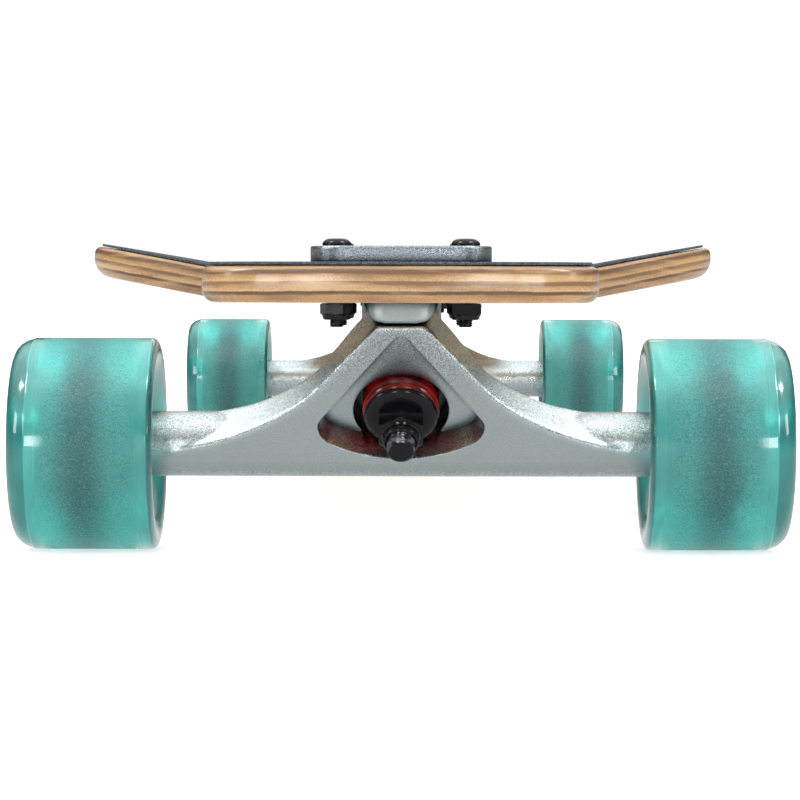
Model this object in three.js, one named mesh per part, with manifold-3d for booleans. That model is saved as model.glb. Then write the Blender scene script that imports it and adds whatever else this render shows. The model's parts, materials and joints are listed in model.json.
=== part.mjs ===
// A drop-through longboard skateboard, in millimetres.
// +Y runs along the board from nose to tail, +X is the rider's left when facing the nose, +Z is up.
// The origin is on the ground under the middle of the board.
import * as THREE from "three";
import { mergeVertices } from "three/addons/utils/BufferGeometryUtils.js";
import Module from "manifold-3d";

const wasm = await Module();
wasm.setup();

// ---------------------------------------------------------------- driving dimensions
const GAP = 0.3; // clearance between pieces that touch on the real board

// Wheels
const WHEEL_RADIUS = 35;
const WHEEL_CENTRE = 103; // from the middle of the axle to the middle of the core
const TYRE_FACETS = 24;
const HUB_FACETS = 16;
const CORE_HALF = 12; // half the width of the core, bearings included
const CORE_RADIUS = 17.5;
const CORE_END_RADIUS = 14;
const CORE_RIM_HALF = 7; // half the width of the rim that keys the tyre
const BEARING_RADIUS = 11; // 608 bearing: 22 outside, 7 wide
const BEARING_WIDTH = 7;

// Trucks
const AXLE_SPACING = 787; // axle to axle
const AXLE_RADIUS = 4;
const AXLE_HALF = 124;
const HANGER_HALF = 90; // half the width of the hanger
const TUBE_RADIUS = 10.8;
const STEER_LEAN = THREE.MathUtils.degToRad(50); // steering axis above the horizontal
const STEER_LIFT = 12.5; // steering axis above the axle, measured along the kingpin
const KINGPIN_ALONG = 18.9; // kingpin above the axle, measured along the steering axis
const KINGPIN_RADIUS = 4.6;
const KINGPIN_TIP = -24.8; // all kingpin heights are along the kingpin, from the axle
const KINGPIN_HEAD = 50;
const BUSHING_RADIUS = 12.7;
const BUSHING_HEIGHT = 14.7;
const WEB_LOW = 8.5; // the hanger's ring between its two bushings
const WEB_HIGH = 16.5;
const RING_RADIUS = 17.5;
const RING_BACK = 20.5;
const SEAT_RADIUS = 13.2;
const YOKE_TOP = 51.6; // top of the hanger, along the steering axis
const POCKET_FLOOR = -1.6;
const PIVOT_RADIUS = 4.6;
const PIVOT_CENTRE = -12; // centre of the pivot's round end, along the steering axis

// Deck
const DECK_LENGTH = 1041;
const DECK_BOW = 3; // how far the middle of each end stands out past its corners
const DECK_CORNER = 22;
const DECK_BOTTOM = 82;
const DECK_THICKNESS = 10.8;
const DECK_END_HALF = 59; // half width of the narrow ends
const DECK_WIDE_HALF = 118;
const SHOULDER_START = 332; // from the middle of the board, where the narrow end begins to widen
const SHOULDER_END = 262;
const CONCAVE_FLAT = 52; // half width of the flat floor
const CONCAVE_BLEND = 20;
const CONCAVE_SLOPE = 0.185;
const GRIP_THICKNESS = 0.9;
const GRIP_INSET = 1.5;

// Baseplates and their bolts
const PLATE_THICKNESS = 5.5;
const PLATE_HALF_WIDTH = 28.8;
const PLATE_OUT = 53; // from the axle towards the end of the board
const PLATE_IN = -47;
const BOSS_HALF_WIDTH = 13.3;
const NECK_FRONT = 34;
const WINDOW_HALF_WIDTH = 15.5; // the cut-out in the deck
const WINDOW_OUT = 36.5;
const WINDOW_IN = -44;
const BOLT_ACROSS = 20.65; // half the bolt spacing across the board
const BOLT_ROWS = [
  { name: "outer", y: 31 },
  { name: "inner", y: -22.8 },
];
const BOLT_RADIUS = 2.4;
const BOLT_END = 74;


// Lock nuts: across flats, height, and the round collar that holds the nylon insert
const BOLT_NUT = { flats: 9.5, height: 3.8, collarRadius: 4.6, collarHeight: 1.6 };
const AXLE_NUT = { flats: 12.7, height: 4.6, collarRadius: 5.6, collarHeight: 1.6 };
const KINGPIN_NUT = { flats: 14.3, height: 7.5, collarRadius: 6, collarHeight: 3.2 };

// Each truck is made with its outboard side along +Y and turned to face its own end.
const ENDS = [
  { name: "front", turn: Math.PI, y: -AXLE_SPACING / 2 },
  { name: "rear", turn: 0, y: AXLE_SPACING / 2 },
];
const SIDES = [
  { name: "left", x: 1 },
  { name: "right", x: -1 },
];

// ---------------------------------------------------------------- derived heights
const DECK_TOP = DECK_BOTTOM + DECK_THICKNESS;
const GRIP_TOP = DECK_TOP + GAP + GRIP_THICKNESS;
const PLATE_BOTTOM = GRIP_TOP + GAP;
const PLATE_TOP = PLATE_BOTTOM + PLATE_THICKNESS;

// ---------------------------------------------------------------- solids
function solidOf(geometry) {
  const bare = geometry.clone();
  bare.deleteAttribute("normal");
  bare.deleteAttribute("uv");
  const merged = mergeVertices(bare, 1e-4);
  return new wasm.Manifold(
    new wasm.Mesh({
      numProp: 3,
      vertProperties: merged.attributes.position.array,
      triVerts: new Uint32Array(merged.index.array),
    }),
  );
}

function geometryOf(solid) {
  const mesh = solid.getMesh();
  const shared = new THREE.BufferGeometry();
  shared.setAttribute("position", new THREE.BufferAttribute(mesh.vertProperties, 3));
  shared.setIndex(new THREE.BufferAttribute(mesh.triVerts, 1));
  const faceted = shared.toNonIndexed();
  faceted.computeVertexNormals();
  return faceted;
}

function joined(...geometries) {
  const solids = geometries.map(solidOf);
  return geometryOf(solids.reduce((all, next) => all.add(next)));
}

function without(geometry, ...tools) {
  const cutters = tools.map(solidOf);
  return geometryOf(cutters.reduce((left, cutter) => left.subtract(cutter), solidOf(geometry)));
}

function common(first, second) {
  return geometryOf(solidOf(first).intersect(solidOf(second)));
}

// A closed profile of [radius, height] points, turned about the Z axis with a flat facing each way.
function turned(profile, segments) {
  const points = profile.map(([radius, height]) => new THREE.Vector2(radius, height));
  const lathe = new THREE.LatheGeometry(points, segments, Math.PI / segments);
  return lathe.rotateX(Math.PI / 2);
}

// A closed loop of the same points, for rings that don't reach the axis.
function turnedRing(profile, segments) {
  return turned([...profile, profile[0]], segments);
}

function rod(radius, from, to, segments = 20) {
  const profile = [
    [0, from],
    [radius, from],
    [radius, to],
    [0, to],
  ];
  return turned(profile, segments);
}

// The same rod lying along X.
function crossRod(radius, half, segments) {
  return rod(radius, -half, half, segments).rotateY(Math.PI / 2);
}

function polygon(points) {
  return new THREE.Shape(points.map(([x, y]) => new THREE.Vector2(x, y)));
}

// A shape in the plan view, standing from one height to another.
function prism(shape, from, to, curveSegments = 6) {
  const options = { depth: to - from, bevelEnabled: false, curveSegments };
  return new THREE.ExtrudeGeometry(shape, options).translate(0, 0, from);
}

// A shape in the side view, its first axis along Y and its second along Z, spread across X.
function slab(shape, halfWidth) {
  const toSideView = new THREE.Matrix4().makeBasis(
    new THREE.Vector3(0, 1, 0),
    new THREE.Vector3(0, 0, 1),
    new THREE.Vector3(1, 0, 0),
  );
  return prism(shape, -halfWidth, halfWidth).applyMatrix4(toSideView);
}

function roundedRectangle(x0, y0, x1, y1, radius) {
  const shape = new THREE.Shape();
  shape.moveTo(x0 + radius, y0);
  shape.lineTo(x1 - radius, y0);
  shape.absarc(x1 - radius, y0 + radius, radius, -Math.PI / 2, 0);
  shape.lineTo(x1, y1 - radius);
  shape.absarc(x1 - radius, y1 - radius, radius, 0, Math.PI / 2);
  shape.lineTo(x0 + radius, y1);
  shape.absarc(x0 + radius, y1 - radius, radius, Math.PI / 2, Math.PI);
  shape.lineTo(x0, y0 + radius);
  shape.absarc(x0 + radius, y0 + radius, radius, Math.PI, 1.5 * Math.PI);
  return shape;
}

function hexagon(acrossFlats) {
  const corner = acrossFlats / Math.sqrt(3);
  const points = [];
  for (let i = 0; i < 6; i++) {
    const angle = (i * Math.PI) / 3;
    points.push([corner * Math.cos(angle), corner * Math.sin(angle)]);
  }
  return polygon(points);
}

// A lock nut: a hexagon with a narrower round collar below it, bored through.
function lockNut({ flats, height, collarRadius, collarHeight }, bore) {
  const low = -height - collarHeight;
  const body = prism(hexagon(flats), -height, 0);
  const collar = rod(collarRadius, low, -height + 1, 14);
  const hole = rod(bore, low - 1, 1, 12);
  return without(joined(body, collar), hole);
}

function piece(name, geometry, material) {
  const mesh = new THREE.Mesh(geometry, material);
  mesh.name = name;
  return mesh;
}

// ---------------------------------------------------------------- materials
const wood = () => new THREE.MeshStandardMaterial({ color: 0xc89e6c, roughness: 0.45 });
const grit = () => new THREE.MeshStandardMaterial({ color: 0x3b4147, roughness: 0.95 });
const castAluminium = () =>
  new THREE.MeshStandardMaterial({ color: 0xa5acaf, roughness: 0.45, metalness: 0.9 });
const roughCasting = () =>
  new THREE.MeshStandardMaterial({ color: 0x8d979c, roughness: 0.6, metalness: 0.9 });
const urethane = () => new THREE.MeshStandardMaterial({ color: 0x4fb39e, roughness: 0.35 });
const redUrethane = () => new THREE.MeshStandardMaterial({ color: 0xa01c1c, roughness: 0.4 });
const blackSteel = () =>
  new THREE.MeshStandardMaterial({ color: 0x17181a, roughness: 0.35, metalness: 0.7 });
const brightSteel = () =>
  new THREE.MeshStandardMaterial({ color: 0xb8bcc0, roughness: 0.25, metalness: 1 });
const blackNylon = () => new THREE.MeshStandardMaterial({ color: 0x1b1c1e, roughness: 0.55 });

// ---------------------------------------------------------------- deck
// Height of the concave above its flat floor at a distance from the centre line.
function concaveRise(x) {
  const past = Math.abs(x) - CONCAVE_FLAT;
  if (past <= 0) return 0;
  if (past < CONCAVE_BLEND) return (CONCAVE_SLOPE * past * past) / (2 * CONCAVE_BLEND);
  return CONCAVE_SLOPE * (past - CONCAVE_BLEND / 2);
}

// A sheet that follows the concave, from one height to another, wider than the deck.
function concaveSheet(from, to) {
  const stations = [-125];
  for (let step = 3; step >= 0; step--) stations.push(-CONCAVE_FLAT - (step * CONCAVE_BLEND) / 3);
  const across = [...stations, ...stations.map((x) => -x).reverse()];
  const lower = across.map((x) => [x, from + concaveRise(x)]);
  const upper = across.map((x) => [x, to + concaveRise(x)]).reverse();
  const toSectionView = new THREE.Matrix4().makeBasis(
    new THREE.Vector3(1, 0, 0),
    new THREE.Vector3(0, 0, 1),
    new THREE.Vector3(0, -1, 0),
  );
  const half = DECK_LENGTH / 2 + 5;
  return prism(polygon([...lower, ...upper]), -half, half).applyMatrix4(toSectionView);
}

// Plan view of the deck: narrow bowed ends, curved shoulders and a nearly parallel middle.
function deckOutline(inset) {
  const tip = DECK_LENGTH / 2 - inset;
  const end = tip - DECK_BOW;
  const narrow = DECK_END_HALF - inset;
  const wide = DECK_WIDE_HALF - inset;
  const bend = (SHOULDER_START - SHOULDER_END) / 2;
  const shape = new THREE.Shape();
  shape.moveTo(-narrow + DECK_CORNER, -end);
  for (const side of [1, -1]) {
    const x = (halfWidth) => side * halfWidth;
    const y = (distance) => side * -distance;
    const cornerAt = end - DECK_CORNER;
    shape.quadraticCurveTo(0, y(tip + DECK_BOW), x(narrow - DECK_CORNER), y(end));
    shape.quadraticCurveTo(x(narrow), y(end), x(narrow), y(cornerAt));
    shape.lineTo(x(narrow), y(SHOULDER_START));
    const [high, low] = [y(SHOULDER_START - bend), y(SHOULDER_END + bend)];
    shape.bezierCurveTo(x(narrow), high, x(wide - 4), low, x(wide - 1), y(SHOULDER_END));
    shape.quadraticCurveTo(x(wide + 1), 0, x(wide - 1), y(-SHOULDER_END));
    shape.bezierCurveTo(x(wide - 4), -low, x(narrow), -high, x(narrow), y(-SHOULDER_START));
    shape.lineTo(x(narrow), y(-cornerAt));
    shape.quadraticCurveTo(x(narrow), y(-end), x(narrow - DECK_CORNER), y(-end));
  }
  return shape;
}

// The holes that one truck needs through the deck and grip, in the truck's own frame.
function truckHoles(from, to) {
  const outline = roundedRectangle(-WINDOW_HALF_WIDTH, WINDOW_IN, WINDOW_HALF_WIDTH, WINDOW_OUT, 8);
  const tools = [prism(outline, from, to, 3)];
  for (const row of BOLT_ROWS)
    for (const side of SIDES) {
      const hole = rod(BOLT_RADIUS + GAP, from, to, 12);
      tools.push(hole.translate(side.x * BOLT_ACROSS, row.y, 0));
    }
  return tools;
}

function layer(from, to, inset) {
  const blank = common(concaveSheet(from, to), prism(deckOutline(inset), from - 5, to + 20, 6));
  const holes = [];
  for (const end of ENDS)
    for (const tool of truckHoles(from - 5, to + 5)) {
      holes.push(tool.rotateZ(end.turn).translate(0, end.y, 0));
    }
  return without(blank, ...holes);
}

// ---------------------------------------------------------------- baseplate
// A point given along the steering axis and along the kingpin, in the truck's side view.
function leaned(along, up) {
  const outward = along * Math.cos(STEER_LEAN) - up * Math.sin(STEER_LEAN);
  const height = along * Math.sin(STEER_LEAN) + up * Math.cos(STEER_LEAN);
  return [outward, height];
}

const toLeaned = new THREE.Matrix4().makeRotationX(STEER_LEAN);
const BOARD_SEAT = WEB_HIGH + BUSHING_HEIGHT + 3 * GAP + 1.5; // bushing and washer above the ring

// The casting that hangs from the plate: the neck above the hanger, the kingpin seat and its wedge.
function wedge() {
  const underPlate = PLATE_BOTTOM - WHEEL_RADIUS + 1;
  const neckPlane = YOKE_TOP + 2 * GAP;
  const neckBottom = (neckPlane - NECK_FRONT * Math.cos(STEER_LEAN)) / Math.sin(STEER_LEAN);
  const side = polygon([
    [NECK_FRONT, underPlate],
    [NECK_FRONT, neckBottom],
    leaned(neckPlane, 26),
    leaned(40, BOARD_SEAT),
    leaned(4, BOARD_SEAT),
    [-36, 20],
    [WINDOW_IN + 2, 38],
    [WINDOW_IN + 2, underPlate],
  ]);
  const plan = roundedRectangle(-BOSS_HALF_WIDTH, WINDOW_IN + 2, BOSS_HALF_WIDTH, NECK_FRONT, 6);
  return common(slab(side, 20), prism(plan, -40, 80, 4));
}

// The arm below the wedge that carries the pivot socket.
function pivotArm() {
  const side = polygon([
    leaned(12, BOARD_SEAT + 1),
    leaned(2, BOARD_SEAT + 1),
    leaned(-4, 26),
    leaned(-12, 22),
    leaned(-12, STEER_LIFT),
    leaned(-19.4, STEER_LIFT),
    leaned(-19.4, 20),
    [-37.5, 16],
    [WINDOW_IN + 4, 40],
  ]);
  return slab(side, 8.5);
}

// The round socket at the end of the arm, turned about the steering axis.
function pivotSocket() {
  const profile = [
    [0, -19.4],
    [6.8, -19.4],
    [9.6, -16.6],
    [9.6, PIVOT_CENTRE],
    [0, PIVOT_CENTRE],
  ];
  return alongSteering(turned(profile, 20));
}

// Turns a piece made about Z so that it lies about the steering axis, inside the leaned frame.
function alongSteering(geometry) {
  return geometry.rotateX(-Math.PI / 2).translate(0, 0, STEER_LIFT);
}

// Moves a piece made about Z onto the kingpin, inside the leaned frame.
function onKingpin(geometry) {
  return geometry.translate(0, KINGPIN_ALONG, 0);
}

function baseplateGeometry() {
  const plan = roundedRectangle(-PLATE_HALF_WIDTH, PLATE_IN, PLATE_HALF_WIDTH, PLATE_OUT, 9);
  const plate = prism(plan, PLATE_BOTTOM - WHEEL_RADIUS, PLATE_TOP - WHEEL_RADIUS, 4);
  const seat = onKingpin(rod(13.5, BOARD_SEAT, BOARD_SEAT + 9, 24)).applyMatrix4(toLeaned);
  const socket = pivotSocket().applyMatrix4(toLeaned);
  const casting = joined(plate, wedge(), pivotArm(), seat, socket);
  const bore = onKingpin(rod(KINGPIN_RADIUS + GAP, 0, 60, 18)).applyMatrix4(toLeaned);
  const headBore = onKingpin(rod(9, KINGPIN_HEAD - GAP, 95, 18)).applyMatrix4(toLeaned);
  const cupBore = alongSteering(rod(6.6, -17.9, 0, 20)).applyMatrix4(toLeaned);
  const holes = [bore, headBore, cupBore];
  for (const row of BOLT_ROWS)
    for (const side of SIDES) {
      const hole = rod(BOLT_RADIUS + GAP, 30, 80, 12);
      holes.push(hole.translate(side.x * BOLT_ACROSS, row.y, 0));
    }
  return without(casting, ...holes);
}

function pivotCupGeometry() {
  const inside = PIVOT_RADIUS + GAP;
  const profile = [
    [0, -17.6],
    [6.3, -17.6],
    [6.3, PIVOT_CENTRE],
    [inside, PIVOT_CENTRE],
  ];
  for (let step = 1; step <= 4; step++) {
    const angle = (step * Math.PI) / 8;
    profile.push([inside * Math.cos(angle), PIVOT_CENTRE - inside * Math.sin(angle)]);
  }
  return alongSteering(turned(profile, 20));
}

// ---------------------------------------------------------------- hanger
// Front outline of the hanger, from its flat top down its flanks into the axle tube.
function yokeOutline() {
  const shape = new THREE.Shape();
  shape.moveTo(7.6, YOKE_TOP);
  shape.lineTo(-7.6, YOKE_TOP);
  shape.lineTo(-26, 30.6);
  shape.quadraticCurveTo(-43, 11, -80, 5);
  shape.lineTo(-80, 0);
  shape.lineTo(80, 0);
  shape.lineTo(80, 5);
  shape.quadraticCurveTo(43, 11, 26, 30.6);
  return shape;
}

// Height of the hanger's front face along the kingpin, at a height along the steering axis.
const frontFace = (along) => 0.194 * along - 11.03;

function yoke() {
  const side = polygon([
    [0, 0],
    [2.2, frontFace(2.2)],
    [YOKE_TOP, frontFace(YOKE_TOP)],
    [YOKE_TOP, 9.4],
    [47.9, 13.7],
    [28, 5],
    [14, 5],
    [4, 8],
  ]);
  return common(prism(yokeOutline(), -30, 30, 8), slab(side, 90));
}

// The sunken face around the bushing: a triangle with a round top and corners and a bowed foot.
// Its walls lean inwards towards the floor, more and more from half its height down to the foot.
function pocket() {
  const shape = new THREE.Shape();
  shape.moveTo(3.2, 46.2);
  shape.quadraticCurveTo(0, 51, -3.2, 46.2);
  shape.lineTo(-26.4, 17.5);
  shape.quadraticCurveTo(-31.6, 12, -25.3, 7.6);
  shape.quadraticCurveTo(0, -3.8, 25.3, 7.6);
  shape.quadraticCurveTo(31.6, 12, 26.4, 17.5);
  const cutter = prism(shape, -14, POCKET_FLOOR, 6);
  const points = cutter.attributes.position;
  for (let i = 0; i < points.count; i++) {
    if (points.getZ(i) < POCKET_FLOOR - 1) continue;
    const lean = THREE.MathUtils.smoothstep(-points.getY(i), -22, -10);
    points.setX(i, points.getX(i) * (1 - 0.12 * lean));
    points.setY(i, points.getY(i) + 3.5 * lean);
  }
  return cutter;
}

// The road-side bushing's seat: round, with a flat foot that leaves the axle covered.
function roadSeat() {
  const bore = rod(15.7, -20, WEB_LOW, 32).translate(0, KINGPIN_ALONG - 2.7, 0);
  const aboveAxle = new THREE.BoxGeometry(40, 40, 60).translate(0, 25.6, 0);
  return common(bore, aboveAxle);
}

function hangerGeometry() {
  const tube = crossRod(TUBE_RADIUS, HANGER_HALF, 28);
  const ring = onKingpin(rod(RING_RADIUS, 0, RING_BACK, 32));
  const back = new THREE.BoxGeometry(24, 15, RING_BACK).translate(0, -1.5, RING_BACK / 2);
  const noseProfile = [
    [0, -5],
    [7, -5],
    [7, -8.5],
    [PIVOT_RADIUS, -10.8],
    [PIVOT_RADIUS, PIVOT_CENTRE],
  ];
  for (let step = 1; step <= 4; step++) {
    const angle = (step * Math.PI) / 8;
    noseProfile.push([PIVOT_RADIUS * Math.cos(angle), PIVOT_CENTRE - PIVOT_RADIUS * Math.sin(angle)]);
  }
  const nose = alongSteering(turned(noseProfile.reverse(), 20));
  const casting = joined(tube, ring, back, yoke(), nose);
  const boardSeat = onKingpin(rod(SEAT_RADIUS, WEB_HIGH, 40, 32));
  const kingpinBore = onKingpin(rod(6.4, -5, 40, 18));
  const axleBore = crossRod(AXLE_RADIUS + GAP, HANGER_HALF + 5, 16);
  return without(casting, pocket(), roadSeat(), boardSeat, kingpinBore, axleBore);
}

// The axle with what doesn't turn on it: spacers, bearing inner races and speed rings.
function axleGeometry() {
  const half = [
    [AXLE_RADIUS, HANGER_HALF + GAP],
    [6.1, HANGER_HALF + GAP],
    [6.1, WHEEL_CENTRE - CORE_HALF + BEARING_WIDTH],
    [5, WHEEL_CENTRE - CORE_HALF + BEARING_WIDTH],
    [5, WHEEL_CENTRE + CORE_HALF - BEARING_WIDTH],
    [6.1, WHEEL_CENTRE + CORE_HALF - BEARING_WIDTH],
    [6.1, WHEEL_CENTRE + CORE_HALF + 1],
    [AXLE_RADIUS, WHEEL_CENTRE + CORE_HALF + 1],
    [AXLE_RADIUS, AXLE_HALF - 0.8],
    [AXLE_RADIUS - 0.8, AXLE_HALF],
    [0, AXLE_HALF],
  ];
  const otherHalf = half.map(([radius, x]) => [radius, -x]).reverse();
  return turned([...otherHalf, ...half], 16).rotateY(Math.PI / 2);
}

// ---------------------------------------------------------------- steering stack
// Heights in this section run along the kingpin, with the road side below.
function kingpinGeometry() {
  const shank = turned(
    [
      [0, KINGPIN_TIP],
      [KINGPIN_RADIUS - 0.6, KINGPIN_TIP],
      [KINGPIN_RADIUS, KINGPIN_TIP + 1],
      [KINGPIN_RADIUS, KINGPIN_HEAD + 1],
      [0, KINGPIN_HEAD + 1],
    ],
    16,
  );
  const head = prism(hexagon(KINGPIN_NUT.flats), KINGPIN_HEAD, KINGPIN_HEAD + 6);
  return joined(shank, head);
}

const ROAD_BUSHING = WEB_LOW - GAP - BUSHING_HEIGHT;
const BOARD_BUSHING = WEB_HIGH + GAP;
const ROAD_WASHER = ROAD_BUSHING - GAP; // its upper face
const ROAD_WASHER_THICKNESS = 2.3;

function bushingGeometry(from) {
  const bore = KINGPIN_RADIUS + 2 * GAP;
  const to = from + BUSHING_HEIGHT;
  const profile = [
    [bore, from],
    [BUSHING_RADIUS - 1.2, from],
    [BUSHING_RADIUS, from + 1.5],
    [BUSHING_RADIUS, to - 1.5],
    [BUSHING_RADIUS - 1.2, to],
    [bore, to],
  ];
  return turnedRing(profile, 22);
}


function roadWasherGeometry() {
  const bore = KINGPIN_RADIUS + GAP;
  const profile = [
    [bore, ROAD_WASHER - ROAD_WASHER_THICKNESS],
    [9.2, ROAD_WASHER - ROAD_WASHER_THICKNESS],
    [11.5, ROAD_WASHER - 1.5],
    [12.2, ROAD_WASHER - 0.6],
    [12, ROAD_WASHER],
    [bore, ROAD_WASHER],
  ];
  return turnedRing(profile, 22);
}

function boardWasherGeometry() {
  const bottom = BOARD_BUSHING + BUSHING_HEIGHT + GAP;
  const profile = [
    [KINGPIN_RADIUS + GAP, bottom],
    [11.8, bottom],
    [11.8, bottom + 1.5],
    [KINGPIN_RADIUS + GAP, bottom + 1.5],
  ];
  return turnedRing(profile, 20);
}

function kingpinNutGeometry() {
  const top = ROAD_WASHER - ROAD_WASHER_THICKNESS - GAP;
  return lockNut(KINGPIN_NUT, KINGPIN_RADIUS + GAP).translate(0, 0, top);
}

// ---------------------------------------------------------------- wheel pieces, outboard along +Z
function tyreGeometry() {
  const profile = [
    [CORE_END_RADIUS + GAP, -CORE_HALF - GAP],
    [20, -17.5],
    [28, -22.4],
    [31.5, -23],
    [33.9, -22.6],
    [WHEEL_RADIUS, -21],
    [WHEEL_RADIUS, 18],
    [34.1, 21],
    [32.3, 23.3],
    [28.8, 24.4],
    [25, 23.3],
    [18, 16],
    [CORE_END_RADIUS + GAP, CORE_HALF + GAP],
    [CORE_END_RADIUS + GAP, CORE_RIM_HALF + GAP],
    [CORE_RADIUS + GAP, CORE_RIM_HALF + GAP],
    [CORE_RADIUS + GAP, -CORE_RIM_HALF - GAP],
    [CORE_END_RADIUS + GAP, -CORE_RIM_HALF - GAP],
  ];
  const toFlats = 1 / Math.cos(Math.PI / TYRE_FACETS);
  return turnedRing(
    profile.map(([radius, height]) => [radius * toFlats, height]),
    TYRE_FACETS,
  );
}

function coreGeometry() {
  const pocketRadius = BEARING_RADIUS + GAP / 2;
  const land = CORE_HALF - BEARING_WIDTH;
  const profile = [
    [pocketRadius, -CORE_HALF],
    [CORE_END_RADIUS, -CORE_HALF],
    [CORE_END_RADIUS, -CORE_RIM_HALF],
    [CORE_RADIUS, -CORE_RIM_HALF],
    [CORE_RADIUS, CORE_RIM_HALF],
    [CORE_END_RADIUS, CORE_RIM_HALF],
    [CORE_END_RADIUS, CORE_HALF],
    [pocketRadius, CORE_HALF],
    [pocketRadius, land],
    [7.5, land],
    [7.5, -land],
    [pocketRadius, -land],
  ];
  return turnedRing(profile, HUB_FACETS);
}

// The turning half of a bearing: its outer race and shields.
function bearingGeometry() {
  const outside = BEARING_RADIUS - GAP / 2;
  const inside = 6.1 + GAP;
  const profile = [
    [inside, GAP],
    [outside, GAP],
    [outside, BEARING_WIDTH - GAP],
    [inside, BEARING_WIDTH - GAP],
  ];
  return turnedRing(profile, HUB_FACETS);
}

// ---------------------------------------------------------------- mounting hardware
function boltGeometry() {
  const head = turned(
    [
      [0, PLATE_TOP + GAP],
      [4.7, PLATE_TOP + GAP],
      [4.5, PLATE_TOP + 1.1],
      [3.2, PLATE_TOP + 2.2],
      [1.6, PLATE_TOP + 2.6],
      [0, PLATE_TOP + 2.6],
    ],
    12,
  );
  return joined(head, rod(BOLT_RADIUS, BOLT_END, PLATE_TOP + 1, 12));
}

function boltNutGeometry() {
  return lockNut(BOLT_NUT, BOLT_RADIUS + GAP).translate(0, 0, DECK_BOTTOM - GAP);
}

// ---------------------------------------------------------------- assembly
function wheel(label) {
  const group = new THREE.Group();
  group.add(piece(label + "_tyre", tyreGeometry(), urethane()));
  group.add(piece(label + "_core", coreGeometry(), blackNylon()));
  const inner = piece(label + "_inner_bearing", bearingGeometry(), brightSteel());
  const outer = piece(label + "_outer_bearing", bearingGeometry(), brightSteel());
  inner.position.z = -CORE_HALF;
  outer.position.z = CORE_HALF - BEARING_WIDTH;
  group.add(inner, outer);
  return group;
}

function steeringStack(label) {
  const stack = new THREE.Group();
  stack.add(piece(label + "_kingpin", kingpinGeometry(), blackSteel()));
  stack.add(piece(label + "_kingpin_nut", kingpinNutGeometry(), blackSteel()));
  stack.add(piece(label + "_road_side_bushing", bushingGeometry(ROAD_BUSHING), redUrethane()));
  stack.add(piece(label + "_board_side_bushing", bushingGeometry(BOARD_BUSHING), redUrethane()));
  stack.add(piece(label + "_road_side_washer", roadWasherGeometry(), blackSteel()));
  stack.add(piece(label + "_board_side_washer", boardWasherGeometry(), blackSteel()));
  stack.position.y = KINGPIN_ALONG;
  return stack;
}

function truck(end) {
  const group = new THREE.Group();
  group.add(piece(end.name + "_baseplate", baseplateGeometry(), roughCasting()));

  const leaning = new THREE.Group();
  leaning.rotation.x = STEER_LEAN;
  leaning.add(piece(end.name + "_pivot_cup", pivotCupGeometry(), blackNylon()));
  leaning.add(piece(end.name + "_hanger", hangerGeometry(), castAluminium()));
  leaning.add(steeringStack(end.name));
  group.add(leaning);

  group.add(piece(end.name + "_axle", axleGeometry(), brightSteel()));
  for (const side of SIDES) {
    const label = end.name + "_" + side.name;
    const facing = side.x * Math.cos(end.turn);
    const nut = piece(label + "_axle_nut", lockNut(AXLE_NUT, AXLE_RADIUS + GAP), blackSteel());
    nut.position.x = facing * (WHEEL_CENTRE + CORE_HALF + 1 + GAP);
    nut.rotation.y = (-facing * Math.PI) / 2;
    group.add(nut);

    const turning = wheel(label);
    turning.position.x = facing * WHEEL_CENTRE;
    turning.rotation.y = (facing * Math.PI) / 2;
    group.add(turning);
  }
  group.position.set(0, end.y, WHEEL_RADIUS);
  group.rotation.z = end.turn;
  return group;
}

function hardware(end) {
  const group = new THREE.Group();
  for (const row of BOLT_ROWS)
    for (const side of SIDES) {
      const place = [side.x * Math.cos(end.turn) * BOLT_ACROSS, row.y, 0];
      const label = end.name + "_" + row.name + "_" + side.name;
      const bolt = piece(label + "_bolt", boltGeometry(), blackSteel());
      const nut = piece(label + "_bolt_nut", boltNutGeometry(), blackSteel());
      bolt.position.set(...place);
      nut.position.set(...place);
      group.add(bolt, nut);
    }
  group.position.y = end.y;
  group.rotation.z = end.turn;
  return group;
}

const longboard = new THREE.Group();
longboard.add(piece("deck", layer(DECK_BOTTOM, DECK_TOP, 0), wood()));
longboard.add(piece("grip_tape", layer(DECK_TOP + GAP, GRIP_TOP, GRIP_INSET), grit()));
for (const end of ENDS) longboard.add(truck(end), hardware(end));

export default longboard;
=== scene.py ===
"""Looks of a drop-through longboard, built around its CAD frame. Shape helpers work in millimetres."""
import json
import math

import bmesh
import bpy
from mathutils import Matrix, Vector


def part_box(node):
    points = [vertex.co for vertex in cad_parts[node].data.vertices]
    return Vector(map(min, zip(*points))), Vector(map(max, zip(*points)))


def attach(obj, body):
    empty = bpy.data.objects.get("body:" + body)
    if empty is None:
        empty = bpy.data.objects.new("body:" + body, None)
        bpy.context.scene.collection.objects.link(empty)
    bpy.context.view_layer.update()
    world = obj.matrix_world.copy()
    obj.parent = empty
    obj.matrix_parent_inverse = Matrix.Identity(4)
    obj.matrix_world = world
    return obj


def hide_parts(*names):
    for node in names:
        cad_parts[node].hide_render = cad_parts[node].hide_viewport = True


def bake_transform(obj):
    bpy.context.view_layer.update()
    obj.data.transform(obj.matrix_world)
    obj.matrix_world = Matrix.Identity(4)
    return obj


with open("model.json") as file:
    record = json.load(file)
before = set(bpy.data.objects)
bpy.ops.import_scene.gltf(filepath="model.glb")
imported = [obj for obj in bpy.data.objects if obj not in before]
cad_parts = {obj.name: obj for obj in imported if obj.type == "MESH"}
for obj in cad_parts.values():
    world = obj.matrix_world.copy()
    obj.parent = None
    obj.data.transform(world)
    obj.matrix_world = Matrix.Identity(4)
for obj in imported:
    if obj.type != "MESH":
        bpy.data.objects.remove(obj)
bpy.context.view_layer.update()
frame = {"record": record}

MM = 0.001  # metres in a millimetre


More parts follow.
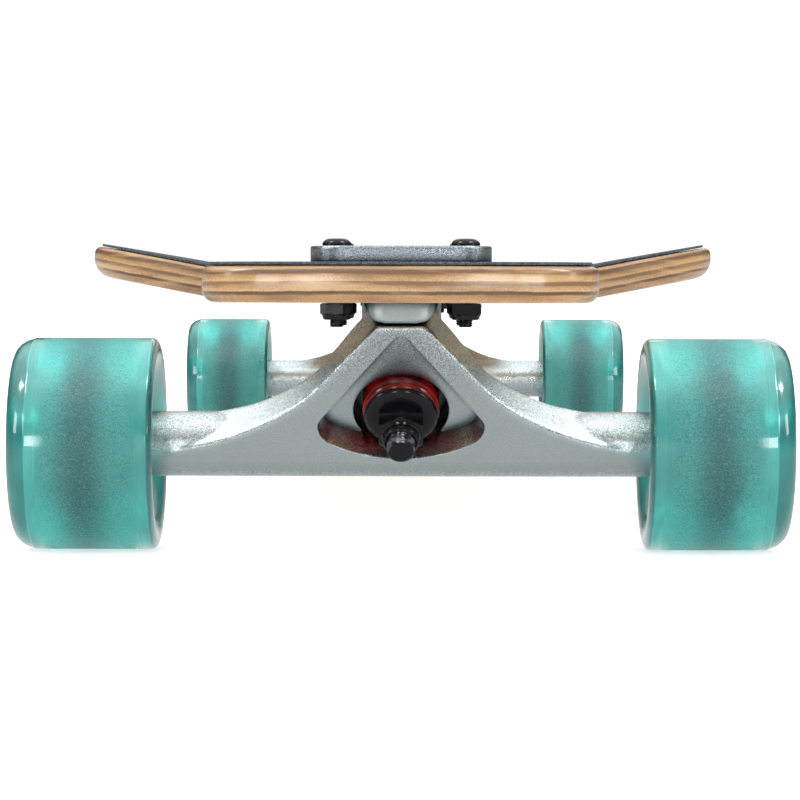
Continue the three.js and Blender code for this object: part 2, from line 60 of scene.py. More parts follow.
def linked(name, data):
    """A new object in the scene."""
    obj = bpy.data.objects.new(name, data)
    bpy.context.scene.collection.objects.link(obj)
    return obj


# ---- camera
FRONT_AXLE = sum(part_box("front_axle"), Vector()) / 2
REAR_AXLE = sum(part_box("rear_axle"), Vector()) / 2

camera_data = bpy.data.cameras.new("camera")
camera_data.sensor_width = 36
camera_data.lens = 135.9
camera_data.clip_end = 100
camera = linked("camera", camera_data)
CAMERA_DISTANCE = 1.0  # in front of the front axle
PITCH, YAW, ROLL = math.radians(-1.99), math.radians(0.19), math.radians(-0.12)
camera.location = FRONT_AXLE + Vector((0.0029, -CAMERA_DISTANCE, 0.0493))
camera.rotation_euler = (
    Matrix.Rotation(YAW, 3, "Z")
    @ Matrix.Rotation(math.pi / 2 + PITCH, 3, "X")
    @ Matrix.Rotation(-ROLL, 3, "Z")
).to_euler()
bpy.context.scene.camera = camera

# ---- record look-ups
RECORD = frame["record"]
BODY_OF = {node: body for body, nodes in RECORD["behaviour"]["bodies"].items() for node in nodes}

# ---- the CAD model's driving sizes, in millimetres
# A truck's own frame has its axle at the origin, +Y to its end of the board and +Z up. The leaned frame is
# turned about X by LEAN: its Y runs along the steering axis and its Z along the kingpin, to the board.
GAP = 0.3  # between touching pieces
LEAN = math.radians(50)  # the steering axis above the horizontal
STEER_LIFT = 12.5  # the steering axis above the axle, leaned
KINGPIN_ALONG = 18.9  # the kingpin's axis from the axle, leaned
KINGPIN_TIP = -24.8
KINGPIN_THREAD_END = -12.5
KINGPIN_HEAD = 50
KINGPIN_RADIUS = 4.6
KINGPIN_FLATS = 14.3  # across the flats of its head and nut
WASHER_BORE = 4.9
TUBE_RADIUS = 10.8
HANGER_HALF = 90
YOKE_TOP = 51.6
WEB_LOW, WEB_HIGH = 8.5, 16.5  # faces of the hanger's web between its bushings
RING_RADIUS, RING_HEIGHT = 17.5, 20.5
PIVOT_RADIUS, PIVOT_CENTRE = 4.6, -12  # the hanger's ball-ended pivot, along the steering axis
CUP_RADIUS = 4.9
BUSHING_HEIGHT = 14.7
ROAD_BUSHING = WEB_LOW - GAP - BUSHING_HEIGHT
BOARD_BUSHING = WEB_HIGH + GAP
ROAD_WASHER = ROAD_BUSHING - GAP
BOARD_SEAT = WEB_HIGH + BUSHING_HEIGHT + 2.4
POCKET_FLOOR = -1.6
PLATE_LOW, PLATE_HIGH = 59.3, 64.8  # above the axle
NECK_HALF, NECK_FRONT, NECK_BACK = 13.3, 34, -42
BOLT_SPOTS = [(x, y) for y in (31, -22.8) for x in (20.65, -20.65)]
BOLT_HOLE = 2.7
BOLT_RADIUS = 2.4
BOLT_SEAT = 100.1  # the underside of a bolt's head above the ground
DECK_BOTTOM, DECK_THICKNESS = 82, 10.8
DECK_TIP, DECK_BOW = 520.5, 3
DECK_NARROW, DECK_WIDE = 59, 118  # half widths
GRIP_THICKNESS = 0.9
FLAT_HALF = 52  # half width of the deck's flat floor
CONCAVE_BEND, CONCAVE_SLOPE = 20, 0.185
AXLE_Y = 393.5
CORE_POCKET = 11.15
INNER_BEARING, OUTER_BEARING = -12, 5  # inboard ends, from the middle of the core
AXLE_NUT = 116.3  # inboard end, from the middle of the axle


# ---- mesh helpers
def mesh_from(name, verts, faces, scale=MM, smooth_angle=35):
    """A mesh in metres, with edges sharper than smooth_angle kept hard."""
    mesh = bpy.data.meshes.new(name)
    mesh.from_pydata([tuple(Vector(v) * scale) for v in verts], [], faces)
    bm = bmesh.new()
    bm.from_mesh(mesh)
    bmesh.ops.remove_doubles(bm, verts=bm.verts, dist=1e-7)
    bmesh.ops.recalc_face_normals(bm, faces=bm.faces)
    bm.to_mesh(mesh)
    bm.free()
    mesh.shade_smooth()
    mesh.set_sharp_from_angle(angle=math.radians(smooth_angle))
    return mesh


def bezier(start, control, end, steps=10):
    """Points of a quadratic curve, without its first."""
    s, c, e = Vector(start), Vector(control), Vector(end)
    shares = [i / steps for i in range(1, steps + 1)]
    return [tuple(s * (1 - t) ** 2 + c * 2 * t * (1 - t) + e * t * t) for t in shares]


def arc_corner(before, corner, after, radius, steps):
    """The points that round one corner of a path, using up at most 0.45 of each side."""
    corner = Vector(corner)
    a, b = Vector(before) - corner, Vector(after) - corner
    reach = min(radius, 0.45 * a.length, 0.45 * b.length)
    start, end = corner + a.normalized() * reach, corner + b.normalized() * reach
    return [tuple(start)] + bezier(start, corner, end, steps)


def filleted(points, radius, steps=4, keep=()):
    """A closed path with every corner rounded, apart from those in keep."""
    out = []
    for i, p in enumerate(points):
        if i in keep or radius == 0:
            out.append(tuple(p))
        else:
            out += arc_corner(points[i - 1], p, points[(i + 1) % len(points)], radius, steps)
    return out


def lathe(profile, segments=96, along="Z"):
    """Turns a closed loop of (radius, height) points. Points on the axis are shared."""
    rows = [(height, radius) for radius, height in profile]
    return polar(rows, segments, along)


def polar(rows, segments=96, along="Z"):
    """Closed rings of (height, radius). radius may be a function of the angle. The last joins the first."""
    verts, rings, faces = [], [], []
    for height, radius in rows:
        if not callable(radius) and radius < 1e-6:
            rings.append([len(verts)] * segments)
            verts.append((0, 0, height))
            continue
        ring = []
        for j in range(segments):
            angle = 2 * math.pi * j / segments
            r = radius(angle) if callable(radius) else radius
            ring.append(len(verts))
            verts.append((r * math.cos(angle), r * math.sin(angle), height))
        rings.append(ring)
    for i in range(len(rings)):
        low, high = rings[i], rings[(i + 1) % len(rings)]
        if low[0] == low[1] and high[0] == high[1]:
            continue
        for j in range(segments):
            k = (j + 1) % segments
            face = []
            for v in (low[j], low[k], high[k], high[j]):
                if v not in face:
                    face.append(v)
            if len(face) > 2:
                faces.append(face)
    if along == "X":
        verts = [(z, x, y) for x, y, z in verts]
    return verts, faces


def thread(radius, start, end, pitch, depth, segments=48, rows_per_turn=8, along="Z"):
    """A closed rod with a helical thread. The last 0.6 of a turn at each end is tapered by 14%."""
    count = round((end - start) / pitch * rows_per_turn)
    rows = [(start, 0)]
    for i in range(count + 1):
        height = start + (end - start) * i / count
        taper = min(1, 0.86 + 0.14 * min(height - start, end - height) / (0.6 * pitch))

        def crest(angle, height=height, taper=taper):
            phase = (height / pitch - angle / (2 * math.pi)) % 1
            return (radius - depth * abs(2 * phase - 1)) * taper

        rows.append((height, crest))
    rows.append((end, 0))
    return polar(rows, segments, along)


def hexagon_rows(across_flats, start, end):
    """Rings of a hexagon between two heights, its corners turned down at both ends."""
    half = across_flats / 2

    def hexagon(limit):
        def radius(angle):
            turn = (angle + math.pi / 6) % (math.pi / 3) - math.pi / 6
            return min(half / math.cos(turn), limit)

        return radius

    inward = math.copysign(0.6, end - start)
    face = half * 0.97
    depths = (0.15, 0.35, 0.6, 0.9, 1.3)
    rows = [(start, face)]
    rows += [(start + depth * inward, hexagon(face + depth * 1.5)) for depth in depths]
    rows += [(end - depth * inward, hexagon(face + depth * 1.5)) for depth in depths[::-1]]
    return rows + [(end, face)]


def lock_nut(across_flats, bore, height, collar_radius, collar_height):
    """A hexagon downwards from height 0, and a rounded collar below it."""
    rows = hexagon_rows(across_flats, 0, -height)
    low = -height - collar_height
    for t in range(6):
        angle = t / 5 * math.pi / 2
        rows.append((-height - 0.5 * math.sin(angle), collar_radius + 0.5 * (1 - math.sin(angle))))
    for t in range(7):
        angle = t / 6 * math.pi / 2
        rows.append((low + 0.9 * (1 - math.sin(angle)), collar_radius - 0.9 * (1 - math.cos(angle))))
    rows += [(low, bore + 0.5), (low + 0.5, bore), (-0.4, bore), (0, bore + 0.4)]
    return polar(rows)


def joined(*parts):
    """Several (verts, faces) parts as one."""
    verts, faces = [], []
    for part_verts, part_faces in parts:
        faces += [[i + len(verts) for i in face] for face in part_faces]
        verts += part_verts
    return verts, faces


def moved(part, matrix):
    return [tuple(matrix @ Vector(v)) for v in part[0]], part[1]


def cubic(start, first, second, end, steps):
    """Points of a cubic curve, without its first."""
    s, a, b, e = Vector(start), Vector(first), Vector(second), Vector(end)
    points = []
    for i in range(1, steps + 1):
        t = i / steps
        u = 1 - t
        points.append(tuple(s * u**3 + a * 3 * t * u * u + b * 3 * t * t * u + e * t**3))
    return points


def rounded_rectangle(x0, y0, x1, y1, radius, steps=8):
    return filleted([(x0, y0), (x1, y0), (x1, y1), (x0, y1)], radius, steps)


def prism(outline, low, high):
    """A plan outline standing from one height to another."""
    count = len(outline)
    verts = [(x, y, height) for height in (low, high) for x, y in outline]
    faces = [list(range(count))[::-1], list(range(count, 2 * count))]
    faces += [[i, (i + 1) % count, count + (i + 1) % count, count + i] for i in range(count)]
    return verts, faces


def slab(outline, half_width):
    """A side-view outline in (y, z), spread across X."""
    verts, faces = prism(outline, -half_width, half_width)
    return [(z, x, y) for x, y, z in verts], faces


def leaned(along, up):
    """A point of the leaned frame as (y, z) in the truck's frame."""
    return (
        along * math.cos(LEAN) - up * math.sin(LEAN),
        along * math.sin(LEAN) + up * math.cos(LEAN),
    )


TO_LEANED = Matrix.Rotation(LEAN, 4, "X")
ALONG_STEERING = Matrix.Translation((0, 0, STEER_LIFT)) @ Matrix.Rotation(-math.pi / 2, 4, "X")
ON_KINGPIN = Matrix.Translation((0, KINGPIN_ALONG, 0))


# ---- solids by modifier
def scratch(part, soften=None):
    """A scratch object in millimetres. soften is remesh's (voxel, passes)."""
    mesh = bpy.data.meshes.new("scratch")
    mesh.from_pydata(part[0], [], part[1])
    bm = bmesh.new()
    bm.from_mesh(mesh)
    bmesh.ops.recalc_face_normals(bm, faces=bm.faces)
    bmesh.ops.triangulate(bm, faces=bm.faces)
    bm.to_mesh(mesh)
    bm.free()
    obj = linked("scratch", mesh)
    if soften:
        remesh(obj, *soften)
    return obj


def apply_modifiers(obj):
    graph = bpy.context.evaluated_depsgraph_get()
    mesh = bpy.data.meshes.new_from_object(obj.evaluated_get(graph))
    obj.modifiers.clear()
    obj.data = mesh


def combine(obj, operation, *tools):
    """Boolean operations, one tool after another. The tools are used up."""
    for tool in tools:
        modifier = obj.modifiers.new(operation.lower(), "BOOLEAN")
        modifier.operation = operation
        modifier.solver = "MANIFOLD"
        modifier.object = tool
        apply_modifiers(obj)
        bpy.data.objects.remove(tool)
    return obj


def remesh(obj, voxel, passes):
    """Rebuilds the surface from voxels and smooths it, which gives soft cast edges."""
    modifier = obj.modifiers.new("remesh", "REMESH")
    modifier.mode = "VOXEL"
    modifier.voxel_size = voxel
    smooth = obj.modifiers.new("smooth", "SMOOTH")
    smooth.factor = 0.5
    smooth.iterations = passes
    apply_modifiers(obj)


def finished_mesh(obj, name, smooth_angle=180):
    """The scratch object's mesh in metres. The object is used up."""
    mesh = obj.data
    mesh.name = name
    mesh.materials.clear()
    mesh.transform(Matrix.Scale(MM, 4))
    mesh.shade_smooth()
    if smooth_angle < 180:
        mesh.set_sharp_from_angle(angle=math.radians(smooth_angle))
    bpy.data.objects.remove(obj)
    return mesh


# ---- node helpers
class Paint:
    """A material's node tree, with coordinates in millimetres."""

    def __init__(self, name, **constants):
        self.material = bpy.data.materials.new(name)
        self.material.use_nodes = True
        self.tree = self.material.node_tree
        self.shader = self.tree.nodes["Principled BSDF"]
        for key, value in constants.items():
            self.shader.inputs[key.replace("_", " ")].default_value = value
        place = self.node("TexCoord")
        metres = place.outputs["Object"]
        self.point = self.node("VectorMath", operation="SCALE", Vector=metres, Scale=1 / MM).outputs[0]
        self.normal = place.outputs["Normal"]

    def node(self, kind, **settings):
        """A new node. A setting is a property, a socket's name, or i0, i1... for a socket's number."""
        made = self.tree.nodes.new("ShaderNode" + kind)
        for key, value in settings.items():
            if hasattr(made, key) and key not in made.inputs:
                setattr(made, key, value)
                continue
            socket = int(key[1:]) if key[0] == "i" and key[1:].isdigit() else key
            self.feed(made.inputs[socket], value)
        return made

    def feed(self, socket, value):
        if isinstance(value, bpy.types.NodeSocket):
            self.tree.links.new(value, socket)
        else:
            socket.default_value = value

    def math(self, operation, a, b=0.0, clamp=False):
        return self.node("Math", operation=operation, use_clamp=clamp, i0=a, i1=b).outputs[0]

    def plus(self, a, b):
        return self.math("ADD", a, b)

    def times(self, a, b):
        return self.math("MULTIPLY", a, b)

    def without(self, value):
        """One minus the value."""
        return self.math("SUBTRACT", 1.0, value)

    def size(self, value):
        return self.math("ABSOLUTE", value)

    def from_middle(self, cells):
        """Distance from the middle of the cell, where each whole number starts one."""
        return self.size(self.math("SUBTRACT", self.math("FRACT", cells), 0.5))

    def split(self):
        return self.node("SeparateXYZ", i0=self.point).outputs

    def stretched(self, x, y, z):
        return self.node("VectorMath", operation="MULTIPLY", i0=self.point, i1=(x, y, z)).outputs[0]

    def noise(self, grain, detail=2.0, roughness=0.5, vector=None):
        """Noise whose features are about grain millimetres across."""
        made = self.node("TexNoise", Scale=1 / grain, Detail=detail, Roughness=roughness)
        self.feed(made.inputs["Vector"], vector or self.point)
        return made.outputs["Fac"]

    def cells(self, grain, vector=None, output="Distance"):
        """Cells about grain millimetres across."""
        made = self.node("TexVoronoi", Scale=1 / grain)
        self.feed(made.inputs["Vector"], vector or self.point)
        return made.outputs[output]

    def ramp(self, fac, stops):
        made = self.node("ValToRGB")
        elements = made.color_ramp.elements
        while len(elements) < len(stops):
            elements.new(0.5)
        for element, (position, colour) in zip(elements, stops):
            element.position = position
            element.color = (*colour, 1)
        self.feed(made.inputs[0], fac)
        return made.outputs[0]

    def between(self, fac, low, high, to_low=0.0, to_high=1.0):
        """A smooth step of the value between two limits."""
        made = self.node("MapRange", interpolation_type="SMOOTHSTEP")
        sockets = ("Value", "From Min", "From Max", "To Min", "To Max")
        for socket, value in zip(sockets, (fac, low, high, to_low, to_high)):
            self.feed(made.inputs[socket], value)
        return made.outputs[0]

    def mix(self, fac, a, b):
        made = self.node("Mix", data_type="RGBA")
        self.feed(made.inputs[0], fac)
        for socket, value in ((made.inputs[6], a), (made.inputs[7], b)):
            self.feed(socket, (*value, 1) if isinstance(value, tuple) and len(value) == 3 else value)
        return made.outputs[2]

    def bump(self, *layers, start=None):
        """Bumps given as (height, depth in millimetres), one over another."""
        normal = start
        for height, depth in layers:
            made = self.node("Bump", Strength=1.0, Distance=depth * MM, Height=height)
            if normal:
                self.feed(made.inputs["Normal"], normal)
            normal = made.outputs[0]
        self.feed(self.shader.inputs["Normal"], normal)

    def set(self, **sockets):
        for key, value in sockets.items():
            self.feed(self.shader.inputs[key.replace("_", " ")], value)


# ---- materials
def scaled(colour, share):
    return tuple(c * share for c in colour)


def cast_metal(name, colour, grain, depth, roughness, calm_side=None, satin_below=None):
    """Cast aluminium: a grain with painted glints in its colour, and painted shade in its creases.

    The grain is calm low down on faces that point along calm_side, or below a height in a colour of its own.
    """
    paint = Paint(name, Metallic=1.0)
    coarse = paint.noise(grain, 2, roughness=0.6)
    fine = paint.noise(grain * 0.45, 2, roughness=0.6)
    slow = paint.noise(16, 3)
    height = paint.split()[2]
    if calm_side:
        satin = colour
        dot = paint.node("VectorMath", operation="DOT_PRODUCT", i0=paint.normal, i1=calm_side)
        calm = paint.times(paint.between(dot.outputs["Value"], 0.9, 0.975), paint.between(height, 34, 12))
    else:
        low, satin = satin_below
        calm = paint.between(height, low, low - 1)
    wild = paint.without(paint.times(calm, 0.85))
    # painted glints: bright and dark specks painted into the colour stand in for light glinting off the
    # grain, besides the bump
    painted_glints = paint.mix(paint.between(coarse, 0.38, 0.62), scaled(colour, 0.58), scaled(colour, 1.3))
    even = paint.mix(paint.between(coarse, 0.35, 0.65), scaled(satin, 0.93), scaled(satin, 1.07))
    tone = paint.mix(calm, painted_glints, even)
    tone = paint.mix(paint.between(slow, 0.35, 0.75, 0, 0.22), tone, scaled(satin, 0.8))
    # painted shade: creases, corners and hollows go dark where ambient occlusion finds them closed in
    openness = paint.node("AmbientOcclusion", samples=6, Distance=4 * MM).outputs["AO"]
    tone = paint.mix(paint.between(openness, 0.96, 0.64), tone, scaled(colour, 0.1))
    finish = paint.between(slow, 0.3, 0.7, roughness, roughness + 0.07)
    paint.set(Base_Color=tone, Roughness=paint.plus(finish, paint.times(fine, 0.08)))
    soft_edges = paint.node("Bevel", samples=4, Radius=0.7 * MM).outputs[0]
    paint.bump((paint.times(coarse, wild), depth), (fine, depth * 0.3), start=soft_edges)
    return paint.material


def urethane():
    """Translucent urethane: glossy lips, and a ground tread where the core shows as a dark band, partly
    painted into the colour as shade and partly seen through the transmission.
    """
    paint = Paint("teal_urethane", IOR=1.5, Coat_Roughness=0.05)
    x, y, z = paint.split()[:3]
    radius = paint.math("SQRT", paint.plus(paint.times(y, y), paint.times(z, z)))
    tread = paint.between(radius, 34.75, 34.9)
    ground = paint.times(tread, paint.between(paint.size(paint.plus(x, 1.5)), 17.5, 12))
    frost = paint.noise(0.5, 2, roughness=0.6)
    cloud = paint.noise(9, 3)
    # painted shade: the dark core seen through the tread is painted in as this band, and the transmission
    # also shows it
    band = paint.between(paint.size(paint.plus(x, paint.between(cloud, 0.2, 0.8, -0.6, 0.6))), 11, 1)
    light_frost = paint.times(ground, paint.between(frost, 0.5, 0.64, 0, 0.5))
    dark_frost = paint.times(ground, paint.between(frost, 0.48, 0.34, 0, 0.65))
    skin = paint.mix(paint.between(cloud, 0.3, 0.7), (0.05, 0.5, 0.455), (0.065, 0.56, 0.51))
    skin = paint.mix(paint.times(band, 0.74), skin, (0.02, 0.12, 0.135))
    skin = paint.mix(light_frost, skin, (0.21, 0.6, 0.58))
    skin = paint.mix(dark_frost, skin, (0.01, 0.19, 0.19))
    lip = paint.mix(paint.between(cloud, 0.35, 0.7), (0.008, 0.19, 0.18), (0.012, 0.23, 0.215))
    paint.set(
        Base_Color=paint.mix(tread, lip, skin),
        Roughness=paint.plus(paint.between(tread, 0, 1, 0.22, 0.26), paint.times(ground, 0.12)),
        Transmission_Weight=paint.between(tread, 0, 1, 0.62, 0.72),
        Coat_Weight=paint.without(ground),
    )
    paint.bump((paint.times(ground, frost), 0.2), (paint.noise(9, 2), 0.05))
    return paint.material


def blotched(name, noise, limits, colours, roughness, bump=None, **constants):
    """Two colours and roughnesses in soft blotches. noise is its grain and detail. bump also has a depth."""
    paint = Paint(name, **constants)
    blotch = paint.noise(*noise)
    share = paint.between(blotch, *limits) if limits else blotch
    paint.set(Base_Color=paint.mix(share, *colours), Roughness=paint.between(blotch, 0.3, 0.7, *roughness))
    if bump:
        paint.bump((paint.noise(*bump[:2]), bump[2]))
    return paint.material


def red_urethane():
    colours = (0.05, 0.001, 0.001), (0.2, 0.004, 0.005)
    glow = {"Subsurface_Weight": 0.3, "Subsurface_Scale": 0.002, "Subsurface_Radius": (1.0, 0.1, 0.06)}
    bump = (4, 2, 0.02)
    return blotched("red_urethane", (7, 2), (0.35, 0.65), colours, (0.14, 0.22), bump, IOR=1.5, **glow)


def black_steel():
    """Black oxide, a little rubbed."""
    noise, bump = (0.9, 4, 0.65), (0.5, 3, 0.006)
    colours = (0.003, 0.003, 0.004), (0.02, 0.02, 0.022)
    dull = {"Specular_IOR_Level": 0.32}
    return blotched("black_steel", noise, (0.62, 0.8), colours, (0.1, 0.19), bump, **dull)


def worn_thread():
    """Black oxide that nuts have worn back to steel."""
    colours = (0.03, 0.03, 0.032), (0.17, 0.17, 0.18)
    return blotched("worn_thread", (2.2, 3), (0.4, 0.6), colours, (0.2, 0.32), Metallic=1.0)


def bright_steel():
    """Plated steel, turned."""
    paint = Paint("bright_steel", Metallic=1.0)
    turning = paint.noise(0.3, 2, vector=paint.stretched(3.0, 0.4, 0.4))
    stain = paint.noise(5, 3)
    paint.set(
        Base_Color=paint.mix(stain, (0.62, 0.63, 0.65), (0.76, 0.77, 0.78)),
        Roughness=paint.between(turning, 0.3, 0.7, 0.2, 0.34),
    )
    paint.bump((turning, 0.008))
    return paint.material


def nylon(name, colour):
    return blotched(name, (4, 3), None, (colour, scaled(colour, 1.5)), (0.48, 0.6), (0.35, 2, 0.02))


def grip():
    """Mineral grains, faintly scuffed and dusty."""
    grain = 0.45
    paint = Paint("grip_grit", Specular_IOR_Level=0.35)
    from_grain = paint.cells(grain)
    shade = paint.node("SeparateColor", Color=paint.cells(grain, output="Color")).outputs[0]
    scuff = paint.noise(55, 4, vector=paint.stretched(1, 0.5, 1), roughness=0.65)
    dust = paint.noise(2.5, 3)
    tone = paint.mix(shade, (0.018, 0.024, 0.03), (0.075, 0.088, 0.1))
    tone = paint.mix(paint.between(scuff, 0.5, 0.8, 0, 0.14), tone, (0.16, 0.17, 0.18))
    tone = paint.mix(paint.between(dust, 0.55, 0.8, 0, 0.1), tone, (0.14, 0.145, 0.15))
    paint.set(Base_Color=tone, Roughness=paint.between(from_grain, 0.0, 0.6, 0.65, 0.95))
    paint.bump((paint.without(from_grain), 0.28), (dust, 0.05))
    return paint.material


def wood():
    """Seven plies on the edge, and bamboo strips with their knuckles on the faces."""
    paint = Paint("laminated_wood", Coat_Weight=0.8, Coat_Roughness=0.18, IOR=1.5)
    height = paint.node("Attribute", attribute_name="ply_height").outputs["Fac"]
    x, y = paint.split()[:2]

    # depth through the plies, 0 at the top and 1 at the bottom, waved along the edge
    wave = paint.between(paint.noise(38, 3, vector=paint.stretched(1, 0.6, 0)), 0.2, 0.8, -0.03, 0.03)
    ripple = paint.between(paint.noise(7, 2, vector=paint.stretched(1, 0.35, 0)), 0.2, 0.8, -0.012, 0.012)
    depth = paint.plus(paint.without(height), paint.plus(wave, ripple))
    drift = paint.between(paint.noise(90, 2, vector=paint.stretched(1, 0.4, 0)), 0.3, 0.7, -0.02, 0.02)
    depth = paint.plus(depth, drift)
    pale, light, middle = (0.36, 0.226, 0.094), (0.255, 0.138, 0.047), (0.128, 0.06, 0.018)
    dark = (0.065, 0.024, 0.007)
    plies = paint.ramp(depth, [
        (0.0, light), (0.08, light), (0.11, dark), (0.22, middle), (0.27, light), (0.4, pale),
        (0.43, middle), (0.51, middle), (0.55, light), (0.67, pale), (0.7, dark), (0.765, dark),
        (0.8, light), (1.0, light),
    ])

    # the edge: fibres, paler and darker sap, and dotted bundles in the lowest ply
    fibre = paint.noise(0.5, 4, vector=paint.stretched(1, 0.03, 1), roughness=0.65)
    bundles = paint.cells(0.8, vector=paint.stretched(1, 0.05, 1.2))
    sap = paint.noise(30, 3, vector=paint.stretched(1, 0.2, 9), roughness=0.6)
    edge = paint.mix(paint.between(fibre, 0.38, 0.66, 0, 0.5), plies, (0.11, 0.05, 0.02))
    edge = paint.mix(paint.between(sap, 0.46, 0.66, 0, 0.4), edge, (0.41, 0.262, 0.115))
    edge = paint.mix(paint.between(sap, 0.44, 0.3, 0, 0.45), edge, (0.1, 0.045, 0.017))
    dots = paint.times(paint.between(bundles, 0.4, 0.2), paint.between(depth, 0.76, 0.8))
    patches = paint.between(paint.noise(24, 2), 0.42, 0.58)
    edge = paint.mix(paint.times(paint.times(dots, patches), 0.75), edge, (0.12, 0.05, 0.014))

    # the top and bottom faces: strips with seams, and knuckles at a different place in each
    strip_width, knuckle_spacing, line = 19.0, 290.0, (0.2, 0.1, 0.045)
    across = paint.math("DIVIDE", x, strip_width)
    shift = paint.node("TexWhiteNoise", noise_dimensions="1D", W=paint.math("FLOOR", across))
    shift = shift.outputs["Value"]
    along = paint.plus(paint.math("DIVIDE", y, knuckle_spacing), paint.times(shift, 7.0))
    streak = paint.noise(1.1, 4, vector=paint.stretched(1, 0.012, 1), roughness=0.7)
    seam = paint.between(paint.from_middle(across), 0.488, 0.498)
    knuckle = paint.between(paint.from_middle(along), 0.012, 0.004)
    tone = paint.mix(shift, (0.34, 0.2, 0.09), (0.44, 0.285, 0.145))
    tone = paint.mix(paint.between(streak, 0.4, 0.7, 0, 0.5), tone, (0.2, 0.1, 0.04))
    tone = paint.mix(paint.times(knuckle, 0.55), tone, line)
    tone = paint.mix(paint.times(seam, 0.6), tone, line)

    underside, top = paint.between(height, 0.012, 0.002), paint.between(height, 0.988, 0.998)
    paint.set(
        Base_Color=paint.mix(paint.math("ADD", underside, top, clamp=True), edge, tone),
        Roughness=paint.between(fibre, 0.3, 0.7, 0.3, 0.46),
    )
    groove = paint.math("SUBTRACT", 0.0, paint.math("MAXIMUM", seam, knuckle))
    paint.bump((fibre, 0.03), (groove, 0.04))
    return paint.material


FRONT_NORMAL = (0, 0.85, -0.527)  # outwards from the hanger's front face, in the truck's frame
NECK_SATIN = (59, (0.38, 0.44, 0.44))  # the baseplate is satin under its plate
MATERIALS = {
    "hanger": cast_metal("cast_hanger", (0.62, 0.7, 0.715), 0.42, 0.06, 0.21, calm_side=FRONT_NORMAL),
    "plate": cast_metal("cast_baseplate", (0.35, 0.395, 0.43), 0.5, 0.09, 0.22, satin_below=NECK_SATIN),
    "teal": urethane(),
    "red": red_urethane(),
    "black": black_steel(),
    "thread": worn_thread(),
    "steel": bright_steel(),
    "nylon": nylon("black_nylon", (0.012, 0.016, 0.018)),
    "seal": nylon("bearing_seal", (0.014, 0.014, 0.016)),
    "grip": grip(),
    "wood": wood(),
}


# ---- placing
def put(node, mesh, paint, matrix, blended=False):
    """A detailed piece that stands for a CAD node, and rides on its body unless it is blended."""
    if not mesh.materials:
        mesh.materials.append(MATERIALS[paint])
    obj = linked(node + "_look", mesh)
    obj.matrix_world = matrix
    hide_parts(node)
    if not blended:
        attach(obj, BODY_OF[node])
    return obj


def centre_of(node):
    low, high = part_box(node)
    return (low + high) / 2


# ---- deck and grip
def concave_rise(x):
    """How far the sides rise: a bend, then a straight slope."""
    past = abs(x) - FLAT_HALF
    if past <= 0:
        return 0.0
    if past < CONCAVE_BEND:
        return CONCAVE_SLOPE * past * past / (2 * CONCAVE_BEND)
    return CONCAVE_SLOPE * (past - CONCAVE_BEND / 2)


def deck_outline(inset):
    """Plan of the deck: narrow rounded ends, curved shoulders and a nearly parallel middle."""
    tip, narrow, wide, corner = DECK_TIP - inset, DECK_NARROW - inset, DECK_WIDE - inset, 22
    end = tip - DECK_BOW
    edge = narrow - corner
    cut_out, shoulder, slim = 332, 262, 2.8  # ends of the shoulder's curve along Y, and its narrowing
    quarter = [(edge * k / 12, tip - DECK_BOW * (k / 12) ** 2) for k in range(1, 13)]
    quarter += bezier((narrow - corner, end), (narrow, end), (narrow, end - corner), 12)
    quarter += [(narrow, y) for y in (470, 440, 410, 380, 355, cut_out)]
    quarter += cubic((narrow, cut_out), (narrow, 297), (wide - 5.5, 297), (wide - slim, shoulder), 28)
    quarter += [(wide - slim * (y / shoulder) ** 2, y) for y in (230, 180, 130, 80, 40, 0)]
    right = quarter + [(x, -y) for x, y in quarter[-2::-1]]
    return [(0.0, tip)] + right + [(0.0, -tip)] + [(-x, -y) for x, y in right]


def truck_cuts():
    """Plans of one truck's window and bolt holes, around its axle."""
    cuts = [rounded_rectangle(-15.5, -44, 15.5, 36.5, 12)]
    angles = [2 * math.pi * k / 16 for k in range(16)]
    for across, row in BOLT_SPOTS:
        cuts.append([(across + BOLT_HOLE * math.cos(a), row + BOLT_HOLE * math.sin(a)) for a in angles])
    return cuts


